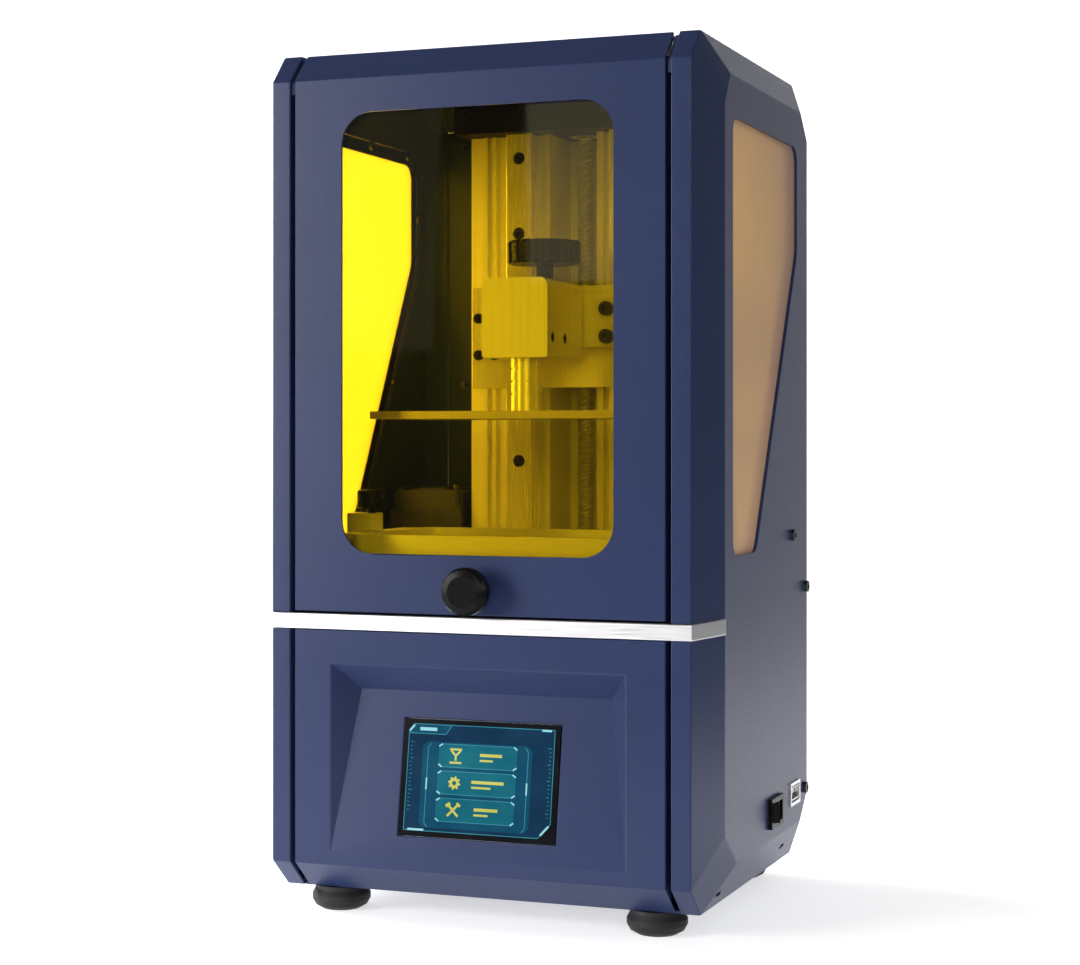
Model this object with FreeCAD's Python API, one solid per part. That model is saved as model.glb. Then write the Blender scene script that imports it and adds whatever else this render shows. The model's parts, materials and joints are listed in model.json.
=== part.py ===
import FreeCAD, Part
import math
import os

# Desktop mask-LCD resin printer, in millimetres, +Z up.
# Everything is drawn with the front face of the case on the plane Y = 0, depth growing
# to the rear; save() then shifts it so that the origin is under the middle of the machine.

V = FreeCAD.Vector
os.makedirs("parts", exist_ok=True)

# ---- driving dimensions of the case ----
CASE_TOP = 400.0
CASE_BOTTOM = 11.2
CASE_DEPTH = 189.0
CASE_HALF = 106.6            # half width across the side faces
FRONT_HALF = 101.3           # half width of the front face, before the cheeks flare out
TOP_HALF = 101.8
CHEEK_DEPTH = 35.1           # depth over which the cheeks flare
ORIGIN_DEPTH = 88.0          # depth of the origin behind the front face
SHEET = 1.5                  # sheet metal thickness
SEAM_HALF = 92.1             # inner edge of the side panels on the front face
PANEL_HALF = 89.7            # half width of the door and the lower front panel
COVER_HALF = 91.9            # half width of the top, rear and bottom sheets
BAND_LOW = 133.1
BAND_HIGH = 140.2
FRONT_TOP_EDGE = 386.3       # where the front face meets the top bevel
REAR_TOP_EDGE = 386.6
LOW_EDGE = 24.7              # where the front and rear faces meet the bevels below
SIDE_TOP_EDGE = CASE_TOP - 14.8
SIDE_LOW_EDGE = 27.7
LOW_HALF = 101.1             # half width of the flat underside
TOP_BEVEL_DEPTH = 13.3
LOW_BEVEL_DEPTH = 15.5
COVER_START = 24.0           # depth where the top cover begins, behind the door hinge
SEAM_LIP = 1.0               # thickness of the lip that closes each seam of the top bevel
SIDE_SCREWS = [(157.6, 172.7), (184.6, 145.6), (182.5, 43.5)]      # depth and height
REAR_SCREWS = [(x, z) for x in (-82.0, 82.0) for z in (32.0, 132.0, 250.0, 378.0)]
FEET = [(x, y) for y in (25.6, 163.4) for x in (-78.0, 78.0)]
CASE_SCREW_R = 1.6           # clearance hole of a case screw

# ---- door ----
DOOR_LOW = 141.2
DOOR_WINDOW = (-65.9, 65.9, 168.2, 370.3)
DOOR_WINDOW_RADIUS = 15.0
HINGE_DEPTH = 17.5
HINGE_HEIGHT = 395.5
KNUCKLE_R = 3.2
HINGE_PIN_R = 1.5
RUNNING = 0.06               # radial clearance of a running fit
DOOR_KNOB_HEIGHT = 152.7
DOOR_KNOB_R = 10.8
DOOR_KNOB_REACH = 15.0

# ---- deck, vat and platform ----
DECK_TOP = 146.0
DECK_THICK = 3.0
WORK_DEPTH = 66.0            # depth of the centre of the LCD, vat and platform
VAT_TOP = 176.0
VAT_INNER = (68.0, 24.0, 106.5)      # half width, front depth, rear depth
VAT_OUTER = (71.5, 20.0, 110.5)
FLANGE_HALF = 80.0
FLANGE_THICK = 3.0
CLAMP_DEPTH = 56.0
CLAMP_AXIS = 76.5
PLATE = (65.0, 28.0, 104.0, 230.0, 233.6)
POST_R = 7.5
BALL_R = 9.0
BALL_HEIGHT = 264.5
HEAD = (16.5, 50.0, 98.5, 259.0, 296.5)
TONGUE = (11.0, 64.0, 101.0, 276.0, 290.0)
KNOB_DEPTH = 90.0
KNOB_R = 18.0
KNOB_LOW = 305.5
KNOB_HIGH = 316.7

# ---- Z axis ----
COLUMN_HALF = 57.0
COLUMN_FRONT = 136.0
COLUMN_REAR = 168.0
CHANNEL_HALF = 12.5
COLUMN_TOP = 375.0
RAIL_X = 27.5
RAIL_FRONT = 127.0
SCREW_DEPTH = 151.0
SCREW_R = 4.0
MOTOR_TOP = 137.0
CARRIAGE = (47.0, 112.0, 118.0, 246.0, 296.5)
NUT_R = 5.2
BEARING_R = 8.0

# ---- lower front panel with the inclined screen recess ----
RECESS_HALF = 71.5
RECESS_INNER_HALF = 61.0
RECESS_LOW = 31.0
RECESS_HIGH = 117.3
RECESS_DEEP_HEIGHT = 105.0
RECESS_DEPTH = 12.0
SLOPE = math.atan2(RECESS_DEPTH, RECESS_DEEP_HEIGHT - RECESS_LOW)
SCREEN_HALF = 38.3
SCREEN_ALONG = (9.2, 62.6)   # where the screen starts and ends along the slope

# ---- sockets, switch and fans ----
SWITCH = (111.0, 134.0, 33.5, 48.0)       # depths, then heights
USB = (152.5, 171.5, 38.0, 49.5)
INLET = (70.0, 70.0)         # X and height
LAMP_FAN = (-45.0, 85.0)     # X and height of its axis on the rear cover
EXHAUST = (-80.5, 150.0)     # X and depth of its axis above the deck
EXHAUST_BASE = 184.0
EXHAUST_THICK = 10.0
EXHAUST_BORE = 18.0
EXHAUST_SIZE = 40.0
FAN_HOLE = 0.8               # screw holes sit this far out along the half width
GUARD_WIRE = 1.2


# ---- small drawing helpers ----
def block(x0, x1, y0, y1, z0, z1):
    return Part.makeBox(x1 - x0, y1 - y0, z1 - z0, V(x0, y0, z0))


def rod(radius, start, end):
    axis = V(*end) - V(*start)
    return Part.makeCylinder(radius, axis.Length, V(*start), axis)


def ring(outer, inner, start, end):
    return rod(outer, start, end).cut(rod(inner, start, end))


def prism(points, sweep):
    corners = [V(*p) for p in points]
    return Part.Face(Part.makePolygon(corners + corners[:1])).extrude(V(*sweep))


def solid_from_faces(faces):
    polygons = []
    for face in faces:
        corners = [V(*p) for p in face]
        polygons.append(Part.Face(Part.makePolygon(corners + corners[:1])))
    return Part.makeSolid(Part.makeShell(polygons))


def rounded_prism(points, radii, sweep):
    """Prism of a flat outline whose corner i is rounded with radii[i]."""
    edges = []
    ends = []
    count = len(points)
    for i in range(count):
        corner = V(*points[i])
        before = (V(*points[i - 1]) - corner).normalize()
        after = (V(*points[(i + 1) % count]) - corner).normalize()
        half_angle = before.getAngle(after) / 2
        reach = radii[i] / math.tan(half_angle)
        to_centre = (before + after).normalize()
        middle = corner + to_centre * (radii[i] / math.sin(half_angle) - radii[i])
        ends.append((corner + before * reach, middle, corner + after * reach))
    for i in range(count):
        edges.append(Part.Arc(*ends[i]).toShape())
        edges.append(Part.LineSegment(ends[i][2], ends[(i + 1) % count][0]).toShape())
    return Part.Face(Part.Wire(edges)).extrude(V(*sweep))


def rounded_window(x0, x1, z0, z1, radius, y0, y1):
    corners = [(x0, y0, z0), (x1, y0, z0), (x1, y0, z1), (x0, y0, z1)]
    return rounded_prism(corners, [radius] * 4, (0, y1 - y0, 0))


def rounded_box(half, y0, y1, z0, z1, radius):
    corners = [(-half, y0, z0), (half, y0, z0), (half, y1, z0), (-half, y1, z0)]
    return rounded_prism(corners, [radius] * 4, (0, 0, z1 - z0))


def mirrored(shape):
    return shape.mirror(V(0, 0, 0), V(1, 0, 0))


def turned(profile, centre):
    """Solid of revolution about a vertical axis; profile is (radius, height) points."""
    outline = [(r, 0, z) for r, z in profile]
    corners = [V(*p) for p in outline]
    face = Part.Face(Part.makePolygon(corners + corners[:1]))
    solid = face.revolve(V(0, 0, 0), V(0, 0, 1), 360)
    solid.translate(V(*centre))
    return solid


def cap_screw(radius, head, shank_radius, shank, seat, outward):
    """Socket-head screw: the underside of its head is at seat."""
    direction = V(*outward).normalize()
    base = V(*seat)
    top = base + direction * head
    tip = base - direction * shank
    screw = Part.makeCylinder(radius, head, base, direction)
    screw = screw.fuse(Part.makeCylinder(shank_radius, shank, tip, direction))
    socket = Part.makeCylinder(radius * 0.5, head * 0.6, top - direction * head * 0.6, direction)
    return screw.cut(socket)


def join(shapes):
    result = shapes[0]
    for shape in shapes[1:]:
        result = result.fuse(shape)
    return result.removeSplitter()


def drill(shape, cutters):
    for cutter in cutters:
        shape = shape.cut(cutter)
    return shape


def fluted(shape, radius, count, flute_radius, centre, heights):
    for number in range(count):
        angle = 2 * math.pi * number / count
        x = centre[0] + (radius + flute_radius * 0.55) * math.cos(angle)
        y = centre[1] + (radius + flute_radius * 0.55) * math.sin(angle)
        shape = shape.cut(rod(flute_radius, (x, y, heights[0] - 1), (x, y, heights[1] + 1)))
    return shape


def save(name, *shapes):
    solids = []
    for shape in shapes:
        for solid in shape.Solids:
            moved = solid.copy()
            moved.translate(V(0, -ORIGIN_DEPTH, 0))
            solids.append(moved)
    result = solids[0] if len(solids) == 1 else Part.makeCompound(solids)
    result.exportStep("parts/" + name + ".step")


# ---- the faceted outline of the case ----
def case_planes():
    """Planes that trim the case's block: three points each, listed for the right side."""
    rear = CASE_DEPTH
    side_top = SIDE_TOP_EDGE
    top_bevel = TOP_BEVEL_DEPTH
    low_bevel = LOW_BEVEL_DEPTH
    right = [
        [(FRONT_HALF, 0, 100), (FRONT_HALF, 0, 300), (CASE_HALF, CHEEK_DEPTH, 100)],
        [(TOP_HALF, 0, CASE_TOP), (TOP_HALF, 100, CASE_TOP), (CASE_HALF, 0, side_top)],
        [(FRONT_HALF, 0, FRONT_TOP_EDGE), (TOP_HALF, top_bevel, CASE_TOP),
         (CASE_HALF, CHEEK_DEPTH, 370.9)],
        [(TOP_HALF, rear - top_bevel, CASE_TOP), (CASE_HALF, rear - top_bevel - 0.1, side_top),
         (CASE_HALF, rear, 372.2)],
        [(LOW_HALF, 0, CASE_BOTTOM), (LOW_HALF, 100, CASE_BOTTOM), (CASE_HALF, 0, SIDE_LOW_EDGE)],
        [(FRONT_HALF, 0, LOW_EDGE), (LOW_HALF, low_bevel, CASE_BOTTOM), (CASE_HALF, 41.9, 37.9)],
        [(LOW_HALF, rear - low_bevel, CASE_BOTTOM), (LOW_HALF, rear, LOW_EDGE),
         (CASE_HALF, rear, 41.0)],
    ]
    left = [[(-x, y, z) for x, y, z in plane] for plane in right]
    across = [
        [(0, 0, FRONT_TOP_EDGE), (100, 0, FRONT_TOP_EDGE), (0, top_bevel, CASE_TOP)],
        [(0, 0, LOW_EDGE), (100, 0, LOW_EDGE), (0, low_bevel, CASE_BOTTOM)],
        [(0, rear, REAR_TOP_EDGE), (100, rear, REAR_TOP_EDGE), (0, rear - top_bevel, CASE_TOP)],
        [(0, rear, LOW_EDGE), (100, rear, LOW_EDGE), (0, rear - low_bevel, CASE_BOTTOM)],
    ]
    return right + left + across


def case_block(inset):
    """The case's outer form with every face moved inwards by inset."""
    shape = block(-CASE_HALF + inset, CASE_HALF - inset, inset, CASE_DEPTH - inset,
                  CASE_BOTTOM + inset, CASE_TOP - inset)
    middle = V(0, CASE_DEPTH / 2, 200)
    for a, b, c in case_planes():
        point = V(*a)
        normal = (V(*b) - point).cross(V(*c) - point).normalize()
        if normal.dot(point - middle) < 0:
            normal = normal * -1
        trim = Part.makeBox(900, 900, 100, V(-450, -450, 0))
        trim.Placement = FreeCAD.Placement(
            point - normal * inset, FreeCAD.Rotation(V(0, 0, 1), normal))
        shape = shape.cut(trim)
    return shape


def underside_vents():
    slots = []
    for row in range(6):
        for side in (-1, 1):
            x = side * 34.0
            y = 62.0 + row * 12.0
            slots.append(block(x - 22, x + 22, y, y + 4, CASE_BOTTOM - 1, CASE_BOTTOM + 3))
    return slots


def side_window_outline(x, margin):
    """Outline of the side window, wider by margin all round; its rear edge slopes."""
    return [(x, 48.5 - margin, 167.5 - margin), (x, 88.8 + margin * 0.6, 167.5 - margin),
            (x, 167.8 + margin, 313.5 - margin * 0.5), (x, 167.8 + margin, 366.7 + margin),
            (x, 48.5 - margin, 366.7 + margin)]


def side_window_cut(margin, x0, x1):
    radii = [7 + margin, 8 + margin, 14 + margin, 8 + margin, 7 + margin]
    return rounded_prism(side_window_outline(x0, margin), radii, (x1 - x0, 0, 0))


def side_panel(shell, is_right):
    """Right side panel: front strip, flared cheek, side face and the bevels above and below."""
    panel = shell.common(block(SEAM_HALF, 120, -5, CASE_DEPTH + 5, 0, CASE_TOP + 5))
    hem = case_block(SHEET).common(
        block(SEAM_HALF, SEAM_HALF + SHEET, 0, 9.5, CASE_BOTTOM, CASE_TOP))
    lip = case_block(SHEET).cut(case_block(SHEET + SEAM_LIP)).common(
        block(PANEL_HALF + 0.4, SEAM_HALF + SHEET, 0, COVER_START - 0.2, 380.0, CASE_TOP))
    panel = panel.fuse(hem).fuse(lip)
    cutters = [side_window_cut(0, 95, 120)]
    cutters.append(block(90, 120, -5, CHEEK_DEPTH, BAND_LOW - 0.1, BAND_HIGH + 0.1))
    for y, z in SIDE_SCREWS:
        cutters.append(rod(CASE_SCREW_R, (100, y, z), (120, y, z)))
    if is_right:
        y0, y1, z0, z1 = SWITCH
        cutters.append(block(100, 120, y0 + 1.6, y1 - 1.6, z0 + 1.2, z1 - 1.2))
        y0, y1, z0, z1 = USB
        cutters.append(block(100, 120, y0 + 2.4, y1 - 2.4, z0 + 2.4, z1 - 2.4))
    for slit_start, slit_height in ((32.5, 16.2), (143.0, 18.8)):
        cutters.append(block(101.0, 120, slit_start, slit_start + 8.0, slit_height, slit_height + 1.4))
    return drill(panel, cutters).removeSplitter()


def make_side_panels(shell):
    save("right_side_panel", side_panel(shell, True))
    save("left_side_panel", mirrored(side_panel(shell, False)))


def make_top_cover(shell):
    cover = shell.common(block(-COVER_HALF, COVER_HALF, COVER_START, CASE_DEPTH + 5,
                               REAR_TOP_EDGE, CASE_TOP + 5))
    save("top_cover", cover)


def make_rear_cover(shell):
    cover = shell.common(block(-COVER_HALF, COVER_HALF, 150, CASE_DEPTH + 5,
                               LOW_EDGE, REAR_TOP_EDGE - 0.2))
    cutters = []
    for radius in (9.0, 15.0, 21.0, 27.0):
        hoop = ring(radius + 1.6, radius - 1.6, (LAMP_FAN[0], 180, LAMP_FAN[1]),
                    (LAMP_FAN[0], 195, LAMP_FAN[1]))
        spokes = [block(-40, 40, 170, 200, -2, 2), block(-2, 2, 170, 200, -40, 40)]
        for spoke in spokes:
            spoke.translate(V(LAMP_FAN[0], 0, LAMP_FAN[1]))
            hoop = hoop.cut(spoke)
        cutters.append(hoop)
    for row in range(5):
        z = 151.5 + row * 6.0
        cutters.append(block(EXHAUST[0] - 16, EXHAUST[0] + 16, 180, 195, z, z + 3))
    cutters.append(rod(5.8, (INLET[0], 180, INLET[1]), (INLET[0], 195, INLET[1])))
    for x, z in REAR_SCREWS:
        cutters.append(rod(CASE_SCREW_R, (x, 180, z), (x, 195, z)))
    save("rear_cover", drill(cover, cutters))


def make_base_plate(shell):
    plate = shell.common(block(-COVER_HALF, COVER_HALF, LOW_BEVEL_DEPTH + 0.3,
                               CASE_DEPTH + 5, 0, LOW_EDGE - 0.1))
    cutters = underside_vents()
    for x, y in FEET:
        cutters.append(rod(2.1, (x, y, 5), (x, y, 20)))
    save("base_plate", drill(plate, cutters))


# ---- lower front panel ----
def recess_wedge(grow):
    """The recess as a solid wedge that is deepest near its top edge."""
    front = -6.0
    half = RECESS_HALF + grow
    inner = RECESS_INNER_HALF + grow
    low = RECESS_LOW - grow
    high = RECESS_HIGH + grow
    deep = RECESS_DEPTH + grow * 1.15
    peak = RECESS_DEEP_HEIGHT + grow * 0.2
    a, b, c, d = (-half, 0, low), (half, 0, low), (half, 0, high), (-half, 0, high)
    e, f = (-inner, deep, peak), (inner, deep, peak)
    wedge = solid_from_faces([[a, b, c, d], [a, e, f, b], [b, f, c], [a, d, e], [d, c, f, e]])
    return wedge.fuse(block(-half, half, front, 0, low, high))


def on_slope(shape):
    """Places a shape drawn with X across, Y out of the screen's back and Z up the slope."""
    placed = shape.copy()
    placed.rotate(V(0, 0, 0), V(1, 0, 0), -math.degrees(SLOPE))
    placed.translate(V(0, 0, RECESS_LOW))
    return placed


def make_lower_front(shell):
    panel = shell.common(block(-PANEL_HALF, PANEL_HALF, -5, LOW_BEVEL_DEPTH, 0, BAND_LOW - 0.4))
    hems = []
    for side in (-1, 1):
        x = side * (PANEL_HALF - SHEET / 2)
        hems.append(case_block(SHEET).common(
            block(x - SHEET / 2, x + SHEET / 2, 0, 9.5, CASE_BOTTOM, BAND_LOW - 0.4)))
    pocket = recess_wedge(SHEET).common(block(-100, 100, 0, 40, 0, 130))
    panel = join([panel] + hems + [pocket]).cut(recess_wedge(0))
    low, high = SCREEN_ALONG
    screen_hole = on_slope(block(-SCREEN_HALF, SCREEN_HALF, -2, 6, low, high))
    save("lower_front_panel", panel.cut(screen_hole))

    glass = on_slope(block(-SCREEN_HALF + 0.2, SCREEN_HALF - 0.2, -0.4, 1.6, low + 0.2, high - 0.2))
    save("touch_screen", glass)
    module = on_slope(block(-SCREEN_HALF - 2, SCREEN_HALF + 2, 2.4, 6.4, low - 3, high + 3))
    tray = on_slope(block(-SCREEN_HALF + 1, SCREEN_HALF - 1, 1.6, 2.4, low + 1, high - 1))
    save("display_module", module.fuse(tray).removeSplitter())


def make_trim_band():
    band = case_block(-0.8).cut(case_block(2.5))
    band = band.common(block(-120, 120, -5, CHEEK_DEPTH - 0.2, BAND_LOW, BAND_HIGH))
    save("silver_trim_band", band)


def make_front_frame():
    """Jamb behind the door's edges, which closes the seams."""
    frame = block(-101.2, 101.2, 10.8, 12.3, 128.0, 388.0)
    frame = frame.cut(block(-86, 86, 5, 15, 144.5, 378.0))
    for side in (-1, 1):
        notch = block(98.5, 103, 5, 15, BAND_LOW - 0.5, BAND_HIGH + 0.5)
        frame = frame.cut(notch if side > 0 else mirrored(notch))
    save("front_frame", frame.common(case_block(SHEET)))


# ---- door ----
def make_door(shell):
    panel = shell.common(block(-PANEL_HALF, PANEL_HALF, -5, TOP_BEVEL_DEPTH, DOOR_LOW, 405))
    hems = []
    for side in (-1, 1):
        x = side * (PANEL_HALF - SHEET / 2)
        hems.append(case_block(SHEET).common(
            block(x - SHEET / 2, x + SHEET / 2, 0, 9.0, DOOR_LOW, 388)))
    hems.append(block(-PANEL_HALF, PANEL_HALF, 0.5, 6.0, DOOR_LOW, DOOR_LOW + SHEET))
    panel = join([panel] + hems)
    x0, x1, z0, z1 = DOOR_WINDOW
    panel = panel.cut(rounded_window(x0, x1, z0, z1, DOOR_WINDOW_RADIUS, -5, 8))
    panel = panel.cut(rod(2.1, (0, -5, DOOR_KNOB_HEIGHT), (0, 5, DOOR_KNOB_HEIGHT)))
    save("door_panel", panel)

    sheet = rounded_window(x0 - 7, x1 + 7, z0 - 7, z1 + 7, DOOR_WINDOW_RADIUS + 7, SHEET, SHEET + 2.5)
    save("door_window", sheet)

    knob = [(0, -2.4), (2.0, -2.4), (2.0, 0), (6.2, 0), (5.6, 3.0), (5.6, 4.6), (8.6, 6.0),
            (DOOR_KNOB_R, 8.4), (DOOR_KNOB_R, 12.4), (9.6, 14.2), (7.0, DOOR_KNOB_REACH),
            (0, DOOR_KNOB_REACH)]
    pull = turned(knob, (0, 0, 0))
    pull.rotate(V(0, 0, 0), V(1, 0, 0), 90)
    pull.translate(V(0, 0, DOOR_KNOB_HEIGHT))
    save("door_knob", pull)


def knuckle(x0, x1):
    return rod(KNUCKLE_R, (x0, HINGE_DEPTH, HINGE_HEIGHT), (x1, HINGE_DEPTH, HINGE_HEIGHT))


def make_door_hinge():
    run = math.hypot(TOP_BEVEL_DEPTH, CASE_TOP - FRONT_TOP_EDGE)
    along = V(0, TOP_BEVEL_DEPTH / run, (CASE_TOP - FRONT_TOP_EDGE) / run)
    inward = V(0, along.z, -along.y)
    start = V(0, 0, FRONT_TOP_EDGE)
    corners = []
    for s, depth in ((4.0, SHEET), (19.0, SHEET), (19.0, SHEET + 1.8), (4.0, SHEET + 1.8)):
        corners.append(start + along * s + inward * depth)
    moving = []
    for x0, x1 in ((-86.0, -52.0), (-30.0, 30.0), (52.0, 86.0)):
        leaf = prism([(x0, c.y, c.z) for c in corners], (x1 - x0, 0, 0))
        moving.append(leaf.fuse(knuckle(x0, x1)))
    pin_line = ((-87, HINGE_DEPTH, HINGE_HEIGHT), (87, HINGE_DEPTH, HINGE_HEIGHT))
    bore = rod(HINGE_PIN_R + RUNNING, *pin_line)
    save("moving_hinge_leaf", *[piece.cut(bore) for piece in moving])

    rail = block(-88, 88, 27.0, 38.0, 393.2, CASE_TOP - SHEET)
    fixed = [rail]
    for x0, x1 in ((-51.4, -30.6), (30.6, 51.4)):
        fixed.append(block(x0, x1, HINGE_DEPTH, 28.0, 393.2, 394.8))
        fixed.append(knuckle(x0, x1))
    save("fixed_hinge_leaf", join(fixed).cut(rod(HINGE_PIN_R, *pin_line)))
    save("hinge_pin", rod(HINGE_PIN_R, *pin_line))


# ---- side windows, screws, feet ----
def make_side_windows():
    inner_face = CASE_HALF - SHEET
    sheet = side_window_cut(7.0, inner_face - 2.0, inner_face)
    save("right_window", sheet)
    save("left_window", mirrored(sheet))
    heads = []
    for y, z in ((60.0, 371.0), (112.0, 371.0), (158.0, 371.0), (172.0, 338.0),
                 (140.0, 250.0), (108.6, 192.0), (44.0, 330.0), (44.0, 240.0), (44.0, 180.0)):
        x = inner_face - 2.0
        heads.append(Part.makeCylinder(2.4, 1.4, V(x - 1.4, y, z), V(1, 0, 0)))
    return heads + [mirrored(head) for head in heads]


def make_case_screws(window_heads):
    screws = list(window_heads)
    for y, z in SIDE_SCREWS:
        screw = cap_screw(2.85, 1.7, 1.5, 5.0, (CASE_HALF, y, z), (1, 0, 0))
        screws.append(screw)
        screws.append(mirrored(screw))
    for x, z in REAR_SCREWS:
        screws.append(cap_screw(2.85, 1.7, 1.5, 5.0, (x, CASE_DEPTH, z), (0, 1, 0)))
    for x, y in exhaust_screws():
        top = EXHAUST_BASE + EXHAUST_THICK + GUARD_WIRE
        screws.append(cap_screw(2.4, 1.8, 1.5, 8.0, (x, y, top), (0, 0, 1)))
    save("case_screws", *screws)


def make_feet():
    feet = []
    profile = [(0, 0), (9.0, 0), (12.2, 1.8), (13.75, 4.6), (13.75, 7.0), (12.4, 9.4),
               (12.0, CASE_BOTTOM), (2.0, CASE_BOTTOM), (2.0, CASE_BOTTOM + 4), (0, CASE_BOTTOM + 4)]
    for x, y in FEET:
        feet.append(turned(profile, (x, y, 0)))
    save("rubber_feet", *feet)


# ---- deck, LCD, light unit ----
def make_deck():
    inner_half = CASE_HALF - SHEET
    inner_rear = CASE_DEPTH - SHEET
    deck = block(-inner_half, inner_half, 42.0, inner_rear, DECK_TOP - DECK_THICK, DECK_TOP)
    deck = deck.fuse(block(-101.4, 101.4, 12.6, 42.0, DECK_TOP - DECK_THICK, DECK_TOP))
    for side in (-1, 1):
        lip = block(inner_half - 2.5, inner_half, 42.0, inner_rear, DECK_TOP, DECK_TOP + 6)
        deck = deck.fuse(lip if side > 0 else mirrored(lip))
    cutters = [block(-73, 73, 19.0, 113.0, DECK_TOP - 1.6, DECK_TOP + 1),
               block(-66, 66, 26.0, 106.0, DECK_TOP - 5, DECK_TOP + 1),
               rod(6.0, (0, SCREW_DEPTH, 100), (0, SCREW_DEPTH, 160)),
               rod(15.0, (EXHAUST[0], EXHAUST[1], 100), (EXHAUST[0], EXHAUST[1], 160)),
               rod(1.5, (-110, 184.6, 145.6), (-101.6, 184.6, 145.6)),
               rod(1.5, (101.6, 184.6, 145.6), (110, 184.6, 145.6))]
    save("deck_plate", drill(deck, cutters))
    save("mask_lcd", block(-72.7, 72.7, 19.3, 112.7, DECK_TOP - 1.6, DECK_TOP - 0.05))


def led_grid():
    return [(-61.25 + column * 17.5, 33.0 + row * 16.5) for column in range(8) for row in range(5)]


def make_light_unit():
    hood = block(-72, 72, 24.5, 108, 63.6, DECK_TOP - DECK_THICK)
    hood = hood.cut(block(-70, 70, 26.5, 106, 60, 150))
    save("light_hood", hood)
    board = block(-72, 72, 24.5, 108, 62.0, 63.6)
    lenses = [block(-70, 70, 26.5, 106, 64.6, 66.0)]
    leds = []
    for x, y in led_grid():
        lenses.append(Part.makeCylinder(5.0, 2.0, V(x, y, 65.9)))
        leds.append(block(x - 1.75, x + 1.75, y - 1.75, y + 1.75, 63.6, 64.4))
    save("lens_plate", join(lenses))
    save("uv_led_board", board, *leds)
    sink = block(-55, 55, 32, 100, 54.0, 62.0)
    for fin in range(12):
        x = -52.0 + fin * 9.2
        sink = sink.fuse(block(x, x + 2.4, 32, 100, 34.0, 54.0))
    save("heatsink", sink.removeSplitter())


# ---- fans ----
def fan_frame(size, thick, bore):
    """Square fan frame lying flat with its lower face on Z = 0."""
    half = size / 2
    corners = [(-half, -half, 0), (half, -half, 0), (half, half, 0), (-half, half, 0)]
    frame = rounded_prism(corners, [3.0] * 4, (0, 0, thick))
    frame = frame.cut(Part.makeCylinder(bore, thick, V(0, 0, 0)))
    hub = Part.makeCylinder(bore * 0.42, 1.2, V(0, 0, 0))
    for angle in range(3):
        arm = block(0, bore + 0.5, -1.1, 1.1, 0, 1.2)
        arm.rotate(V(0, 0, 0), V(0, 0, 1), 120 * angle)
        hub = hub.fuse(arm)
    spindle = Part.makeCylinder(1.2, thick * 0.6, V(0, 0, 0))
    frame = join([frame, hub, spindle])
    hole = half * FAN_HOLE
    for x in (-hole, hole):
        for y in (-hole, hole):
            frame = frame.cut(Part.makeCylinder(1.6, thick, V(x, y, 0)))
    return frame


def exhaust_screws():
    reach = EXHAUST_SIZE / 2 * FAN_HOLE
    return [(EXHAUST[0] + reach, EXHAUST[1] + side * reach) for side in (-1, 1)]


def finger_guard(height):
    """Rings and spokes that cover the top of the exhaust fan, held down at its four corners."""
    reach = EXHAUST_SIZE / 2 * FAN_HOLE
    rings = []
    for radius in (5.0, 10.0, 15.0, 19.0):
        rings.append(ring(radius + GUARD_WIRE / 2, radius - GUARD_WIRE / 2,
                          (0, 0, height), (0, 0, height + GUARD_WIRE)))
    for turn in range(4):
        spoke = block(4.5, math.sqrt(2) * reach, -GUARD_WIRE / 2, GUARD_WIRE / 2,
                      height, height + GUARD_WIRE)
        spoke.rotate(V(0, 0, 0), V(0, 0, 1), 45 + 90 * turn)
        rings.append(spoke)
    for x in (-reach, reach):
        for y in (-reach, reach):
            rings.append(rod(2.4, (x, y, height), (x, y, height + GUARD_WIRE)))
    guard = join(rings)
    for x in (-reach, reach):
        for y in (-reach, reach):
            guard = guard.cut(rod(1.6, (x, y, height - 1), (x, y, height + 3)))
    return guard


def fan_rotor(thick, bore):
    hub = Part.makeCylinder(bore * 0.42, thick - 3.0, V(0, 0, 2.0))
    for blade_number in range(7):
        blade = block(0, bore - 0.8, -0.7, 0.7, 0, thick - 4.5)
        blade.rotate(V(0, 0, 0), V(1, 0, 0), 30)
        blade.translate(V(0, 0, 2.6))
        blade.rotate(V(0, 0, 0), V(0, 0, 1), blade_number * 360.0 / 7)
        hub = hub.fuse(blade)
    slab = Part.makeCylinder(bore - 0.8, thick - 3.2, V(0, 0, 2.0))
    hub = hub.common(slab)
    return hub.cut(Part.makeCylinder(1.2 + RUNNING, thick * 0.6 + 0.4, V(0, 0, 0)))


def make_fans():
    frame = fan_frame(60, 15, 28.0)
    rotor = fan_rotor(15, 28.0)
    for shape in (frame, rotor):
        shape.rotate(V(0, 0, 0), V(1, 0, 0), 90)
        shape.translate(V(LAMP_FAN[0], CASE_DEPTH - SHEET, LAMP_FAN[1]))
    box_top = EXHAUST_BASE
    exhaust_frame = fan_frame(EXHAUST_SIZE, EXHAUST_THICK, EXHAUST_BORE)
    exhaust_frame = exhaust_frame.fuse(finger_guard(EXHAUST_THICK)).removeSplitter()
    exhaust_rotor = fan_rotor(EXHAUST_THICK, EXHAUST_BORE)
    for shape in (exhaust_frame, exhaust_rotor):
        shape.translate(V(EXHAUST[0], EXHAUST[1], box_top))
    save("fan_frames", frame, exhaust_frame)
    save("lamp_fan_rotor", rotor)
    save("exhaust_fan_rotor", exhaust_rotor)
    x, y = EXHAUST
    box_rear = CASE_DEPTH - SHEET - 0.2
    tower = block(x - 20, x + 20, y - 20, box_rear, DECK_TOP, box_top)
    tower = tower.cut(block(x - 18, x + 18, y - 18, box_rear + 1, DECK_TOP - 1, box_top - 2))
    tower = tower.cut(rod(17.5, (x, y, box_top - 5), (x, y, box_top + 1)))
    save("filter_box", tower)


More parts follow.
